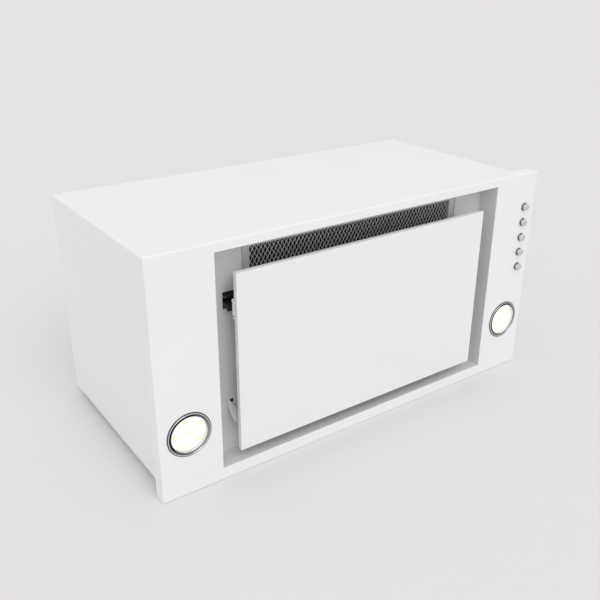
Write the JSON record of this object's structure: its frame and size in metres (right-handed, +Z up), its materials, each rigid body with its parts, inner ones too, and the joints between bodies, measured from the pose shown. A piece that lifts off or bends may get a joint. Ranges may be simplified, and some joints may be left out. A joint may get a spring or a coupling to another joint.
{
  "type": "built-in cooker hood",
  "caption": "White built-in cooker hood with a hinged perimeter-suction panel, grease filter, lamps, push buttons, blower and round duct outlet.",
  "frame": {"origin": "the centre of the four suspension holes on the outside of the back cover, which is also where the duct's axis leaves it", "axes": "-Y out of the face that looks at the hob, +Y along the duct, +X to the right of someone facing the hood, +Z up with the hood standing on its long side; installed, the face looks down"},
  "size_m": [0.598, 0.34, 0.3016],
  "materials": {
    "white_enamel": "satin white paint on sheet steel",
    "zinc_steel": "zinc plated steel",
    "spring_steel": "spring steel",
    "aluminium_frame": "rolled aluminium",
    "expanded_mesh": "layers of expanded aluminium mesh",
    "lamp_chrome": "polished ring",
    "lamp_diffuser": "opal diffuser, lit",
    "circuit_board": "white board with pale yellow emitters",
    "button_metal": "satin metallic caps",
    "bezel_metal": "darker satin metallic rings",
    "black_plastic": "black moulded plastic",
    "grey_plastic": "dark grey moulded plastic",
    "pale_plastic": "pale moulded plastic",
    "copper_winding": "enamelled copper winding",
    "bronze": "sintered bronze",
    "lamination": "stacked laminations",
    "ground_steel": "ground steel bar",
    "black_rubber": "soft rubber",
    "lead_sheath": "pale lead sheath"
  },
  "bodies": {
    "hood": {"housing_shell": "white_enamel", "back_cover": "white_enamel", "face_frame": "white_enamel", "recess_tray": "white_enamel", "cover_screws": "zinc_steel", "hinge_arm_left": "white_enamel", "hinge_arm_right": "white_enamel", "hinge_screws": "zinc_steel", "catch_left": "black_plastic", "catch_right": "black_plastic", "lamp_ring_left": "lamp_chrome", "lamp_ring_right": "lamp_chrome", "lamp_lens_left": "lamp_diffuser", "lamp_lens_right": "lamp_diffuser", "led_board_left": "circuit_board", "led_board_right": "circuit_board", "lamp_can_left": "zinc_steel", "lamp_can_right": "zinc_steel", "lamp_clips": "spring_steel", "button_bezels": "bezel_metal", "button_springs": "spring_steel", "switch_block": "black_plastic", "blower_half_left": "grey_plastic", "blower_half_right": "grey_plastic", "blower_screws": "zinc_steel", "motor_case": "zinc_steel", "motor_stator": "copper_winding", "motor_bearings": "bronze", "motor_bracket": "zinc_steel", "motor_bushes": "black_rubber", "duct_flange": "grey_plastic", "duct_collar": "grey_plastic", "flap_axle": "ground_steel", "terminal_box": "black_plastic", "terminal_lid": "black_plastic", "cable_gland": "black_plastic", "capacitor": "pale_plastic", "led_driver": "pale_plastic", "wiring": "lead_sheath"},
    "panel": {"panel_skin": "white_enamel", "panel_back": "white_enamel", "panel_bumpers": "black_rubber", "hinge_lugs": "zinc_steel", "hinge_pins": "ground_steel", "strike_left": "white_enamel", "strike_right": "white_enamel", "strike_screws": "zinc_steel"},
    "filter": {"filter_frame": "aluminium_frame", "filter_mesh": "expanded_mesh"},
    "handle": {"filter_handle": "spring_steel"},
    "button_1": {"button_1": "button_metal"},
    "button_2": {"button_2": "button_metal"},
    "button_3": {"button_3": "button_metal"},
    "button_4": {"button_4": "button_metal"},
    "button_5": {"button_5": "button_metal"},
    "rotor": {"impeller": "grey_plastic", "motor_rotor": "lamination", "motor_shaft": "ground_steel"},
    "flap_left": {"flap_left": "grey_plastic"},
    "flap_right": {"flap_right": "grey_plastic"}
  },
  "joints": [
    {"name": "panel_hinge", "type": "hinge", "parent": "hood", "child": "panel", "pos_m": [0, -0.2845, -0.11525], "axis": [1, 0, 0], "range_deg": [0, 85]},
    {"name": "filter_slide", "type": "slide", "parent": "hood", "child": "filter", "axis": [0, -1, 0], "range_m": [0, 0.005]},
    {"name": "handle_hinge", "type": "hinge", "parent": "filter", "child": "handle", "pos_m": [0, -0.2655, -0.124], "axis": [-1, 0, 0], "range_deg": [0, 45]},
    {"name": "button_1_press", "type": "slide", "parent": "hood", "child": "button_1", "axis": [0, 1, 0], "range_m": [0, 0.0025], "stiffness_N_per_m": 400, "springref_m": -0.002, "deforming": ["button_springs"]},
    {"name": "button_2_press", "type": "slide", "parent": "hood", "child": "button_2", "axis": [0, 1, 0], "range_m": [0, 0.0025], "stiffness_N_per_m": 400, "springref_m": -0.002, "deforming": ["button_springs"]},
    {"name": "button_3_press", "type": "slide", "parent": "hood", "child": "button_3", "axis": [0, 1, 0], "range_m": [0, 0.0025], "stiffness_N_per_m": 400, "springref_m": -0.002, "deforming": ["button_springs"]},
    {"name": "button_4_press", "type": "slide", "parent": "hood", "child": "button_4", "axis": [0, 1, 0], "range_m": [0, 0.0025], "stiffness_N_per_m": 400, "springref_m": -0.002, "deforming": ["button_springs"]},
    {"name": "button_5_press", "type": "slide", "parent": "hood", "child": "button_5", "axis": [0, 1, 0], "range_m": [0, 0.0025], "stiffness_N_per_m": 400, "springref_m": -0.002, "deforming": ["button_springs"]},
    {"name": "impeller_spin", "type": "hinge", "parent": "hood", "child": "rotor", "pos_m": [0, -0.15, -0.03], "axis": [1, 0, 0], "continuous": true},
    {"name": "flap_left_hinge", "type": "hinge", "parent": "hood", "child": "flap_left", "pos_m": [0, 0.004, 0], "axis": [0, 0, -1], "range_deg": [0, 75]},
    {"name": "flap_right_hinge", "type": "hinge", "parent": "hood", "child": "flap_right", "pos_m": [0, 0.004, 0], "axis": [0, 0, 1], "range_deg": [0, 75]}
  ],
  "couplings": [
    {"joint": "flap_right_hinge", "follows": "flap_left_hinge", "ratio": 1}
  ]
}
